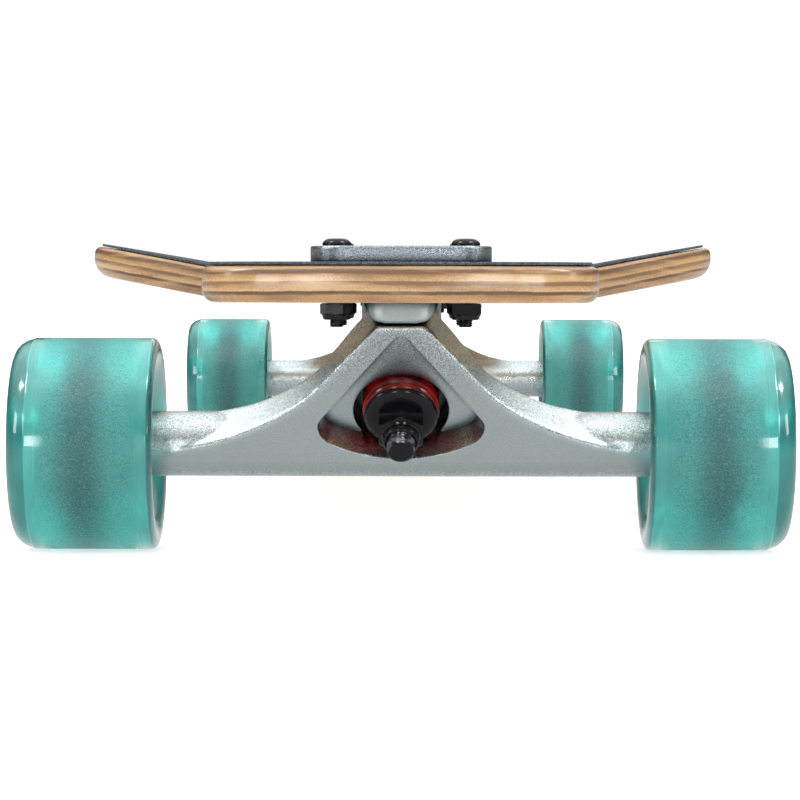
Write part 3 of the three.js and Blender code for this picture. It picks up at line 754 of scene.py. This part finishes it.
def deck_sheet(name, levels, wing_levels):
    """A sheet of stacked outlines (height, inset), cut out for both trucks and bent to the concave.

    The outlines change from levels to wing_levels between 62 and 92 mm from the middle. The attribute
    ply_height is 0 at the bottom face and 1 at the top.
    """
    bm = bmesh.new()
    rings = []
    for (z, inset), (wing_z, wing_inset) in zip(levels, wing_levels):
        ring = []
        for (x, y), (wing_x, wing_y) in zip(deck_outline(inset), deck_outline(wing_inset)):
            share = min(1, max(0, (abs(x) - 62) / 30))
            ring.append(bm.verts.new(Vector((x, y, z)).lerp(Vector((wing_x, wing_y, wing_z)), share)))
        rings.append(ring)
    walls = [rings]
    low, high = levels[0][0], levels[-1][0]
    for sign in (1, -1):
        for cut in truck_cuts():
            walls.append([
                [bm.verts.new((sign * x, sign * (AXLE_Y + y), z)) for x, y in cut] for z in (low, high)
            ])
    for rings in walls:
        for a, b in zip(rings, rings[1:]):
            for i in range(len(a)):
                k = (i + 1) % len(a)
                bm.faces.new((a[i], a[k], b[k], b[i]))
    for level in (0, -1):
        edges = []
        for rings in walls:
            ring = rings[level]
            edges += [bm.edges.get((ring[i], ring[(i + 1) % len(ring)])) for i in range(len(ring))]
        bmesh.ops.triangle_fill(bm, use_beauty=True, edges=edges, normal=(0, 0, 1))
    for station in [FLAT_HALF + 2 * k for k in range(11)] + [78, 84, 90, 96, 102, 108, 114]:
        for side in (1, -1):
            everything = bm.verts[:] + bm.edges[:] + bm.faces[:]
            plane = {"plane_co": (side * station, 0, 0), "plane_no": (1, 0, 0)}
            bmesh.ops.bisect_plane(bm, geom=everything, dist=1e-5, **plane)
    bmesh.ops.recalc_face_normals(bm, faces=bm.faces)
    layer = bm.verts.layers.float.new("ply_height")
    for vert in bm.verts:
        vert[layer] = (vert.co.z - low) / (high - low)
        vert.co.z += concave_rise(vert.co.x)
        vert.co *= MM
    mesh = bpy.data.meshes.new(name)
    bm.to_mesh(mesh)
    bm.free()
    mesh.shade_smooth()
    mesh.set_sharp_from_angle(angle=math.radians(30))
    return mesh


def edge_levels(low, high, low_radius, high_radius, base_inset=0.0, steps=6):
    """Heights and insets of a rounded edge, from the bottom to the top."""
    angles = [i / steps * math.pi / 2 for i in range(steps + 1)]
    levels = []
    for angle in angles:
        inset = base_inset + low_radius * (1 - math.sin(angle))
        levels.append((low + low_radius * (1 - math.cos(angle)), inset))
    for angle in angles:
        inset = base_inset + high_radius * (1 - math.cos(angle))
        levels.append((high - high_radius * (1 - math.sin(angle)), inset))
    return levels


deck_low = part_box("deck")[0].z / MM
deck_high = deck_low + DECK_THICKNESS
grip_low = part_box("grip_tape")[0].z / MM
grip_high = grip_low + GRIP_THICKNESS
deck_mesh = deck_sheet(
    "deck", edge_levels(deck_low, deck_high, 3.6, 2.4), edge_levels(deck_low, deck_high, 5.6, 3.0)
)
grip_mesh = deck_sheet(
    "grip_tape",
    edge_levels(grip_low, grip_high, 0.1, 0.35, 1.9, 3),
    edge_levels(grip_low, grip_high, 0.1, 0.35, 2.9, 3),
)
put("deck", deck_mesh, "wood", Matrix.Identity(4))
put("grip_tape", grip_mesh, "grip", Matrix.Identity(4))


# ---- hanger
def cylinder(radius, low, high, segments, matrix=None, along="Z"):
    """A scratch cylinder."""
    part = lathe([(0, low), (radius, low), (radius, high), (0, high)], segments, along)
    return scratch(moved(part, matrix) if matrix else part)


def ball_end(radius, steps):
    """Profile of a ball around the pivot's centre, from below its widest ring to its tip."""
    angles = [k * math.pi / (2 * steps) for k in range(1, steps)]
    ball = [(radius * math.cos(a), PIVOT_CENTRE - radius * math.sin(a)) for a in angles]
    return ball + [(0, PIVOT_CENTRE - radius)]


def yoke_outline():
    """The yoke from the front, in the leaned frame."""
    points = [(7.6, YOKE_TOP), (-7.6, YOKE_TOP), (-26, 30.6)]
    points += bezier((-26, 30.6), (-43, 11), (-80, 5), 16)
    points += [(-80, 0), (80, 0), (80, 5)]
    return points + bezier((80, 5), (43, 11), (26, 30.6), 16)


def front_face(along):
    """Height of the yoke's front face, which leans a little more than the kingpin."""
    return 0.194 * along - 11.03


def pocket_part():
    """The triangular pocket, from in front of the yoke to its floor. Its lower wall leans inward."""
    outline = [(3.2, 46.2)] + bezier((3.2, 46.2), (0, 51), (-3.2, 46.2))
    outline += [(-26.4, 17.5)] + bezier((-26.4, 17.5), (-31.6, 12), (-25.3, 7.6))
    outline += bezier((-25.3, 7.6), (0, -3.8), (25.3, 7.6), 24)
    outline += bezier((25.3, 7.6), (31.6, 12), (26.4, 17.5))
    verts, faces = prism(outline, -14, POCKET_FLOOR)
    floor_start = len(outline)
    for i, (x, y, z) in enumerate(verts[floor_start:], floor_start):
        t = min(1, max(0, (22 - y) / 12))
        lean = t * t * (3 - 2 * t)
        verts[i] = (x * (1 - 0.12 * lean), y + 3.5 * lean, z)
    return verts, faces


def hanger_mesh():
    side = [(0, 0), (2.2, front_face(2.2)), (YOKE_TOP, front_face(YOKE_TOP)), (YOKE_TOP, 9.4),
            (47.9, 13.7), (28, 5), (14, 5), (4, 8)]
    yoke = scratch(prism(yoke_outline(), -30, 30))
    combine(yoke, "INTERSECT", scratch(slab(side, 90)))
    remesh(yoke, 0.8, 14)
    ring = cylinder(RING_RADIUS, 0, RING_HEIGHT, 96, ON_KINGPIN)
    back = scratch(prism(rounded_rectangle(-12, -9, 12, 6, 1.5, 4), 0, RING_HEIGHT))
    pivot_profile = [(0, -5), (7, -5), (7, -8.5), (PIVOT_RADIUS, -10.8), (PIVOT_RADIUS, PIVOT_CENTRE)]
    pivot = scratch(moved(lathe(pivot_profile + ball_end(PIVOT_RADIUS, 8), 48), ALONG_STEERING))
    half = HANGER_HALF
    tube_profile = [(0, -half), (TUBE_RADIUS, -half), (TUBE_RADIUS, half), (0, half)]
    tube = scratch(lathe(filleted(tube_profile, 1.0, keep=(0, 3)), 128, along="X"))
    body = combine(tube, "UNION", yoke, ring, back, pivot)
    remesh(body, 0.55, 6)

    # cut after the remesh, for crisp edges
    road_seat = cylinder(15.7, -20, WEB_LOW, 96, Matrix.Translation((0, KINGPIN_ALONG - 2.7, 0)))
    above_lower_wall = prism([(-20, 5.6), (20, 5.6), (20, 45.6), (-20, 45.6)], -30, 30)
    combine(road_seat, "INTERSECT", scratch(above_lower_wall))
    board_seat = cylinder(13.2, WEB_HIGH, 40, 96, ON_KINGPIN)
    bore = cylinder(6.4, -5, 40, 48, ON_KINGPIN)
    axle = cylinder(4.3, -95, 95, 48, along="X")
    combine(body, "DIFFERENCE", scratch(pocket_part()), road_seat, board_seat, bore, axle)
    body.data.transform(TO_LEANED)
    return finished_mesh(body, "hanger", 38)


# ---- baseplate
def baseplate_mesh():
    """The plate on the deck, and below it the neck, the wedge to the kingpin's seat and the pivot socket."""
    plate_plan = rounded_rectangle(-28.8, -47, 28.8, 53, 13, 10)
    plate = scratch(prism(plate_plan, PLATE_LOW, PLATE_HIGH), soften=(0.45, 1))
    neck_plane = YOKE_TOP + 0.6  # the neck's face over the yoke, leaned
    neck_low = (neck_plane - NECK_FRONT * math.cos(LEAN)) / math.sin(LEAN)
    inner_y, inner_z = leaned(neck_plane, 26)
    inside_plate = 62
    neck = scratch(slab([(NECK_FRONT, inside_plate), (NECK_FRONT, neck_low), (inner_y, inner_z),
                         (inner_y, inside_plate)], 20))
    plan = rounded_rectangle(-NECK_HALF, NECK_BACK, NECK_HALF, NECK_FRONT, 7, 6)
    foot = rounded_rectangle(-NECK_HALF, neck_plane, NECK_HALF, neck_plane + 60, 8)
    combine(neck, "INTERSECT", scratch(prism(plan, -40, 80)),
            scratch(moved(prism(foot, -80, 80), TO_LEANED)))
    remesh(neck, 0.5, 16)
    side = [(inner_y + 1, inside_plate), leaned(neck_plane, 25), leaned(40, BOARD_SEAT),
            leaned(4, BOARD_SEAT), (-36, 20), (NECK_BACK, 38), (NECK_BACK, inside_plate)]
    wedge = scratch(slab(side, 20))
    combine(wedge, "INTERSECT", scratch(prism(plan, -40, 80)))
    remesh(wedge, 0.8, 6)
    arm_side = [leaned(12, BOARD_SEAT + 1), leaned(2, BOARD_SEAT + 1), leaned(-4, 26), leaned(-12, 22),
                leaned(-12, STEER_LIFT), leaned(-19.4, STEER_LIFT), leaned(-19.4, 20), (-37.5, 16),
                (-40, 40)]
    arm = scratch(slab(arm_side, 8.5), soften=(0.8, 6))
    on_kingpin, on_steering = TO_LEANED @ ON_KINGPIN, TO_LEANED @ ALONG_STEERING
    seat = cylinder(13.5, BOARD_SEAT, BOARD_SEAT + 9, 72, on_kingpin)
    socket_profile = [(0, -19.4), (6.8, -19.4), (9.6, -16.6), (9.6, PIVOT_CENTRE), (0, PIVOT_CENTRE)]
    socket = scratch(moved(lathe(socket_profile, 64), on_steering))
    body = combine(plate, "UNION", neck, wedge, arm, seat, socket)

    kingpin_bore = cylinder(WASHER_BORE, 0, 60, 40, on_kingpin)
    kingpin_notch = cylinder(9, KINGPIN_HEAD - GAP, 95, 48, on_kingpin)
    cup_bore = cylinder(6.6, -17.9, 0, 48, on_steering)
    bolt_holes = [cylinder(BOLT_HOLE, 30, 80, 24, Matrix.Translation((*spot, 0))) for spot in BOLT_SPOTS]
    combine(body, "DIFFERENCE", kingpin_bore, kingpin_notch, cup_bore, *bolt_holes)
    remesh(body, 0.42, 1)
    return finished_mesh(body, "baseplate")


# ---- steering stack, along the kingpin
def turned_mesh(name, profile, fillet, along="Z", steps=3):
    return mesh_from(name, *lathe(filleted(profile, fillet, steps), along=along))


def with_two_paints(mesh, paint, other, is_other):
    """The mesh in one material, with the faces whose centre (x, y, z) passes is_other in another."""
    mesh.materials.append(MATERIALS[paint])
    mesh.materials.append(MATERIALS[other])
    for face in mesh.polygons:
        face.material_index = int(is_other(*(value / MM for value in face.center)))
    return mesh


def kingpin_mesh():
    low, high, radius = KINGPIN_THREAD_END - 0.5, KINGPIN_HEAD + 0.5, KINGPIN_RADIUS
    shank = lathe([(0, low), (radius - 0.5, low), (radius, low + 0.6), (radius, high), (0, high)], 48)
    threaded = thread(radius, KINGPIN_TIP, KINGPIN_THREAD_END, 1.06, 0.55, 64, 10)
    rows = hexagon_rows(KINGPIN_FLATS, KINGPIN_HEAD, KINGPIN_HEAD + 6)
    head = polar([(rows[0][0], 0)] + rows + [(rows[-1][0], 0)])
    mesh = mesh_from("kingpin", *joined(shank, threaded, head), smooth_angle=28)
    start = KINGPIN_TIP + 0.3
    return with_two_paints(mesh, "black", "thread", lambda x, y, z: start < z < KINGPIN_THREAD_END)


def bushing_mesh(name, low):
    bore, high = KINGPIN_RADIUS + 0.6, low + BUSHING_HEIGHT
    profile = [(bore, low), (11.6, low), (12.7, low + 1.6), (12.5, (low + high) / 2), (12.7, high - 1.6),
               (11.6, high), (bore, high)]
    return turned_mesh(name, profile, 0.8, steps=4)


def road_washer_mesh():
    """A cup with a rounded back."""
    top = ROAD_WASHER
    profile = [(WASHER_BORE, top - 2.5), (7.0, top - 2.5)]
    for step in range(13):
        angle = step / 12 * math.pi / 2
        profile.append((7.4 + 4.75 * math.sin(angle), top - 0.2 - 2.3 * math.cos(angle)))
    profile += [(11.9, top), (WASHER_BORE, top)]
    return mesh_from("road_washer", *lathe(profile, 128))


def board_washer_mesh():
    low = BOARD_BUSHING + BUSHING_HEIGHT + GAP
    high = low + 1.5
    profile = [(WASHER_BORE, low), (11.8, low), (11.8, high), (WASHER_BORE, high)]
    return turned_mesh("board_washer", profile, 0.3)


def kingpin_nut_mesh():
    place = Matrix.Translation((0, 0, ROAD_WASHER - 2.6))
    nut = lock_nut(KINGPIN_FLATS, KINGPIN_RADIUS + 0.15, 7.5, 6, 3.2)
    return mesh_from("kingpin_nut", *moved(nut, place), smooth_angle=30)


def pivot_cup_mesh():
    profile = [(0, -17.6), (6.3, -17.6), (6.3, PIVOT_CENTRE), (CUP_RADIUS, PIVOT_CENTRE)]
    return mesh_from("pivot_cup", *moved(lathe(profile + ball_end(CUP_RADIUS, 10), 64), ALONG_STEERING))


# ---- wheel pieces, outboard along +X
TYRE_BORE, TYRE_LAND = 14.3, 12.3
TYRE_PROFILE = [  # radius, distance from the middle of the core
    (TYRE_BORE, -TYRE_LAND), (17.0, -15.2), (20.0, -17.6), (24.0, -20.4), (27.6, -22.2), (30.2, -22.9),
    (32.2, -22.95), (33.7, -22.5), (34.6, -21.8), (35.0, -20.9), (35.0, -20.6), (35.0, 17.4), (35.0, 17.7),
    (34.65, 18.5), (34.0, 20.6), (33.1, 22.1), (31.7, 23.5), (30.1, 24.25), (28.4, 24.35), (26.4, 23.8),
    (22.5, 20.6), (18.0, 16.0), (TYRE_BORE, TYRE_LAND),
]


def tyre_mesh():
    """The tyre around its core. The faces bonded to the core have its dark nylon, which shows through."""
    groove, half = 17.8, 7.3
    profile = []
    for (r0, h0), (r1, h1) in zip(TYRE_PROFILE, TYRE_PROFILE[1:]):
        steps = 20 if abs(h1 - h0) > 30 else 2
        profile += [(r0 + (r1 - r0) * k / steps, h0 + (h1 - h0) * k / steps) for k in range(steps)]
    profile += [TYRE_PROFILE[-1], (TYRE_BORE, half), (groove, half), (groove, -half), (TYRE_BORE, -half)]
    mesh = mesh_from("tyre", *lathe(profile, 160, along="X"), smooth_angle=30)

    def bonded(x, y, z):
        return math.hypot(y, z) < groove + 0.1 and abs(x) < TYRE_LAND - 0.05

    return with_two_paints(mesh, "teal", "nylon", bonded)


def core_mesh():
    end, rib, rim, land, bore = 12, 7, 14, 5, 7.5
    profile = [(CORE_POCKET, -end), (rim, -end), (rim, -rib), (17.5, -rib), (17.5, rib), (rim, rib),
               (rim, end), (CORE_POCKET, end), (CORE_POCKET, land), (bore, land), (bore, -land),
               (CORE_POCKET, -land)]
    return turned_mesh("core", profile, 0.5, "X")


def bearing_mesh():
    """Outer race with a dished seal on each side, from x = 0.3 to 6.7."""
    race = lathe(filleted([(9.3, 0.3), (10.85, 0.3), (10.85, 6.7), (9.3, 6.7)], 0.3, 3), 96, "X")
    seal = lathe([(6.4, 0.7), (7.0, 0.62), (7.5, 0.95), (8.6, 0.95), (9.0, 0.6), (9.32, 0.6), (9.32, 6.4),
                  (9.0, 6.4), (8.6, 6.05), (7.5, 6.05), (7.0, 6.38), (6.4, 6.3)], 96, "X")
    mesh = mesh_from("bearing", *joined(race, seal))
    return with_two_paints(mesh, "steel", "seal", lambda x, y, z: math.hypot(y, z) < 9.15)


def axle_mesh():
    """The axle with its spacers, inner races and speed rings, and a thread at each end."""
    right = [(4, 90.3), (6.1, 90.3), (6.1, 98), (5, 98), (5, 108), (6.1, 108), (6.1, 116), (3.9, 116),
             (3.9, 117)]
    left = [(radius, -x) for radius, x in right[::-1]]
    rod = lathe([(0, -117)] + left + right + [(0, 117)], 64, "X")
    ends = [thread(4, 116, 124, 0.9, 0.45, along="X"), thread(4, -124, -116, 0.9, 0.45, along="X")]
    return mesh_from("axle", *joined(rod, *ends), smooth_angle=28)


def axle_nut_mesh():
    return mesh_from("axle_nut", *lock_nut(12.7, 4.2, 4.6, 5.6, 1.6), smooth_angle=30)


# ---- mounting hardware
def bolt_mesh():
    """A button head with a hexagon socket on a threaded shank, at its height above the ground."""
    head = [(0, 0), (4.5, 0), (4.7, 0.25), (4.62, 0.8), (4.2, 1.45), (3.5, 1.95), (2.6, 2.25), (1.6, 2.3),
            (0, 2.3)]
    dome = scratch(lathe([(radius, BOLT_SEAT + up) for radius, up in head], 72))
    hexagon = [(1.75 * math.cos(k * math.pi / 3), 1.75 * math.sin(k * math.pi / 3)) for k in range(6)]
    combine(dome, "DIFFERENCE", scratch(prism(hexagon, BOLT_SEAT + 0.7, BOLT_SEAT + 5)))
    shank = cylinder(BOLT_RADIUS, 84, BOLT_SEAT + 0.3, 32)
    combine(dome, "UNION", shank, scratch(thread(BOLT_RADIUS, 74, 84.5, 0.79, 0.4, 40)))
    mesh = finished_mesh(dome, "bolt", 30)
    return with_two_paints(mesh, "black", "thread", lambda x, y, z: 74.2 < z < 84.4)


def bolt_nut_mesh():
    return mesh_from("bolt_nut", *lock_nut(9.5, 2.5, 3.8, 4.6, 1.6), smooth_angle=30)


MESHES = {mesh.name: mesh for mesh in (
    hanger_mesh(), baseplate_mesh(), kingpin_mesh(), bushing_mesh("road_bushing", ROAD_BUSHING),
    bushing_mesh("board_bushing", BOARD_BUSHING), road_washer_mesh(), board_washer_mesh(),
    kingpin_nut_mesh(), pivot_cup_mesh(), tyre_mesh(), core_mesh(), bearing_mesh(), axle_mesh(),
    axle_nut_mesh(), bolt_mesh(), bolt_nut_mesh(),
)}


# ---- assembly
def place_truck(end, axle_centre, turn):
    truck = Matrix.Translation(axle_centre) @ Matrix.Rotation(turn, 4, "Z")
    lean = truck @ TO_LEANED
    kingpin = lean @ Matrix.Translation(ON_KINGPIN.translation * MM)
    for node, mesh, paint, matrix in (
        ("hanger", "hanger", "hanger", truck),
        ("baseplate", "baseplate", "plate", truck),
        ("pivot_cup", "pivot_cup", "nylon", lean),
        ("axle", "axle", "steel", truck),
        ("kingpin", "kingpin", "black", kingpin),
        ("kingpin_nut", "kingpin_nut", "black", kingpin),
        ("road_side_washer", "road_washer", "black", kingpin),
        ("board_side_washer", "board_washer", "black", kingpin),
    ):
        put(f"{end}_{node}", MESHES[mesh], paint, matrix)
    for node, mesh, fixed_end, turning_end in (
        ("road_side_bushing", "road_bushing", ROAD_BUSHING, ROAD_BUSHING + BUSHING_HEIGHT),
        ("board_side_bushing", "board_bushing", BOARD_BUSHING + BUSHING_HEIGHT, BOARD_BUSHING),
    ):
        own_mesh = MESHES[mesh].copy()  # a blended piece can't share its mesh
        bushing = put(f"{end}_{node}", own_mesh, "red", kingpin, blended=True)
        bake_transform(bushing)


def place_wheel(label):
    hub = centre_of(label + "_core")
    outward = math.copysign(1, hub.x)
    facing = Matrix.Identity(4) if outward > 0 else Matrix.Rotation(math.pi, 4, "Z")
    wheel = Matrix.Translation(hub) @ facing
    put(label + "_tyre", MESHES["tyre"], "teal", wheel)
    put(label + "_core", MESHES["core"], "nylon", wheel)
    for bearing, x in (("inner", INNER_BEARING), ("outer", OUTER_BEARING)):
        place = wheel @ Matrix.Translation((x * MM, 0, 0))
        put(f"{label}_{bearing}_bearing", MESHES["bearing"], "steel", place)
    nut = Matrix.Translation((outward * AXLE_NUT * MM, hub.y, hub.z))
    outwards = Matrix.Rotation(-outward * math.pi / 2, 4, "Y")
    put(label + "_axle_nut", MESHES["axle_nut"], "black", nut @ outwards)


def place_bolt(end, row, side):
    """A bolt and its nut, turned differently in each row and on each side."""
    spot = centre_of(f"{end}_{row}_{side}_bolt")
    turned = Matrix.Rotation(0.37 + 1.3 * (row == "inner") + 0.8 * (side == "left"), 4, "Z")
    for node, height in (("bolt", 0), ("bolt_nut", (DECK_BOTTOM - GAP) * MM)):
        matrix = Matrix.Translation((spot.x, spot.y, height)) @ turned
        put(f"{end}_{row}_{side}_{node}", MESHES[node], "black", matrix)


for end, axle_centre, turn in (("front", FRONT_AXLE, math.pi), ("rear", REAR_AXLE, 0.0)):
    place_truck(end, axle_centre, turn)
    for side in ("left", "right"):
        place_wheel(end + "_" + side)
        for row in ("outer", "inner"):
            place_bolt(end, row, side)

# ---- floor, studio and lights
FLOOR_HALF = 20  # metres
corners = [(-1, -1, 0), (1, -1, 0), (1, 1, 0), (-1, 1, 0)]
floor_mesh = mesh_from("floor", corners, [(0, 1, 2, 3)], scale=FLOOR_HALF)
floor = linked("floor", floor_mesh)
floor.location.z = -0.0003
floor_paint = Paint("floor", Roughness=0.9, Emission_Strength=0.56)
floor_paint.set(Base_Color=(0.93, 0.93, 0.93, 1), Emission_Color=(1, 1, 1, 1))
floor_mesh.materials.append(floor_paint.material)
floor.visible_glossy = False


def softbox(name, place, aim, width, height, power):
    data = bpy.data.lights.new(name, "AREA")
    data.shape = "RECTANGLE"
    data.size, data.size_y, data.energy = width, height, power
    obj = linked(name, data)
    obj.location = place
    obj.rotation_euler = (Vector(aim) - Vector(place)).to_track_quat("-Z", "Y").to_euler()
    return obj


top_box = softbox("top_box", (0, -0.2, 1.6), (0, -0.2, 0), 2.0, 2.4, 30)
# Level metal mirrors the world's soft sky and not this box, which would wash the baseplates out.
top_box.visible_glossy = False
for side in (-1, 1):
    softbox("high_box", (0.95 * side, -0.8, 1.65), (0, -0.4, 0.06), 0.6, 0.7, 16)
    softbox("side_box", (1.45 * side, -1.15, 0.55), (0, -0.4, 0.06), 0.4, 0.5, 4)
    softbox("low_box", (0.37 * side, -1.85, 0.16), (0, -0.5, 0.08), 0.2, 0.28, 1.9)
softbox("rear_box", (0.3, 2.2, 0.9), (0, 0.3, 0.05), 1.2, 0.8, 2.5)

# The world is an even white, but reflections see a gradient: grey below, a dark band above the horizon, and
# bright overhead. Its positions are (sine of the elevation + 1) / 2.
STUDIO_WHITE = 1.06
SKY_STOPS = ((0.0, 0.48), (0.3, 0.74), (0.47, 0.74), (0.545, 0.1), (0.66, 0.12), (0.8, 1.0), (1.0, 1.6))
world = bpy.data.worlds.new("studio")
bpy.context.scene.world = world
world.use_nodes = True
nodes, links = world.node_tree.nodes, world.node_tree.links
direction = nodes.new("ShaderNodeSeparateXYZ")
links.new(nodes.new("ShaderNodeTexCoord").outputs["Generated"], direction.inputs[0])
sky = nodes.new("ShaderNodeValToRGB")
height_share = nodes.new("ShaderNodeMapRange")
links.new(direction.outputs["Z"], height_share.inputs["Value"])
height_share.inputs["From Min"].default_value = -1
links.new(height_share.outputs[0], sky.inputs[0])
while len(sky.color_ramp.elements) < len(SKY_STOPS):
    sky.color_ramp.elements.new(0.5)
for element, (position, value) in zip(sky.color_ramp.elements, SKY_STOPS):
    element.position = position
    element.color = (value, value, value, 1)
light_path = nodes.new("ShaderNodeLightPath")
seen = nodes.new("ShaderNodeMix")
seen.data_type = "RGBA"
links.new(light_path.outputs["Is Glossy Ray"], seen.inputs[0])
seen.inputs[6].default_value = (STUDIO_WHITE, STUDIO_WHITE, STUDIO_WHITE, 1)
links.new(sky.outputs[0], seen.inputs[7])
links.new(seen.outputs[2], nodes["Background"].inputs["Color"])

bpy.context.scene.view_settings.view_transform = "Standard"
